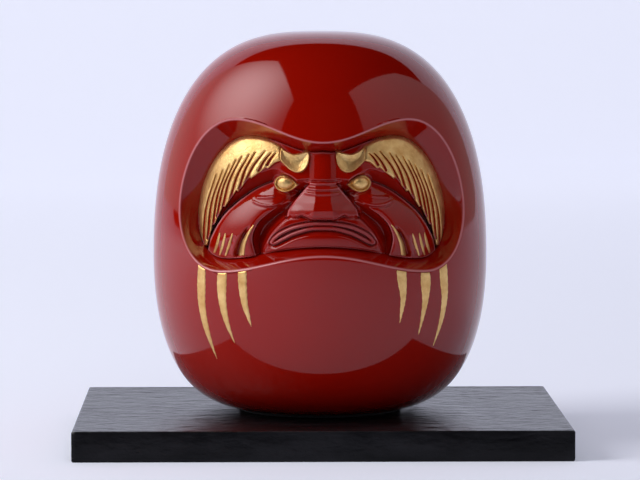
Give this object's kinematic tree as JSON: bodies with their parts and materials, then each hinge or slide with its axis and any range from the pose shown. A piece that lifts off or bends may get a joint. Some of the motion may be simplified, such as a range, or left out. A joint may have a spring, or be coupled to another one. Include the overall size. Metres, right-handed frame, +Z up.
{
  "type": "daruma doll",
  "caption": "Rounded red lacquer daruma doll with a carved frowning face set in a niche, gold brows, eyes and beard strokes, standing on a black display board.",
  "frame": {"origin": "centre of the display board's underside", "axes": "+Z up, the doll faces -Y, +X is to the viewer's right when looking at the face"},
  "size_m": [0.15, 0.112, 0.1273],
  "materials": {
    "red_lacquer": "deep gloss red lacquer over a cast body",
    "gold_leaf": "satin gold, slightly grainy",
    "black_stained_wood": "black stain, raised grain, low sheen",
    "cast_plaster": "matt, as cast",
    "plug_wood": "plain turned wood",
    "black_felt": "short pressed felt"
  },
  "bodies": {
    "board": {"display_board": "black_stained_wood"},
    "doll": {"body_shell": "red_lacquer", "niche_cup": "red_lacquer", "face_mask": "red_lacquer", "brow_left": "gold_leaf", "brow_right": "gold_leaf", "brow_tuft_left": "gold_leaf", "brow_tuft_right": "gold_leaf", "eye_rim_left": "gold_leaf", "eye_rim_right": "gold_leaf", "eyeball_left": "gold_leaf", "eyeball_right": "gold_leaf", "moustache_left": "gold_leaf", "moustache_right": "gold_leaf", "whiskers_left": "gold_leaf", "whiskers_right": "gold_leaf", "beard_left_outer": "gold_leaf", "beard_left_middle": "gold_leaf", "beard_left_inner": "gold_leaf", "beard_right_outer": "gold_leaf", "beard_right_middle": "gold_leaf", "beard_right_inner": "gold_leaf", "base_weight": "cast_plaster", "base_plug": "plug_wood", "felt_pad": "black_felt"}
  },
  "joints": [
    {"name": "doll_lift", "type": "slide", "parent": "board", "child": "doll", "axis": [0, 0, 1], "range_m": [0, 0.06]}
  ]
}
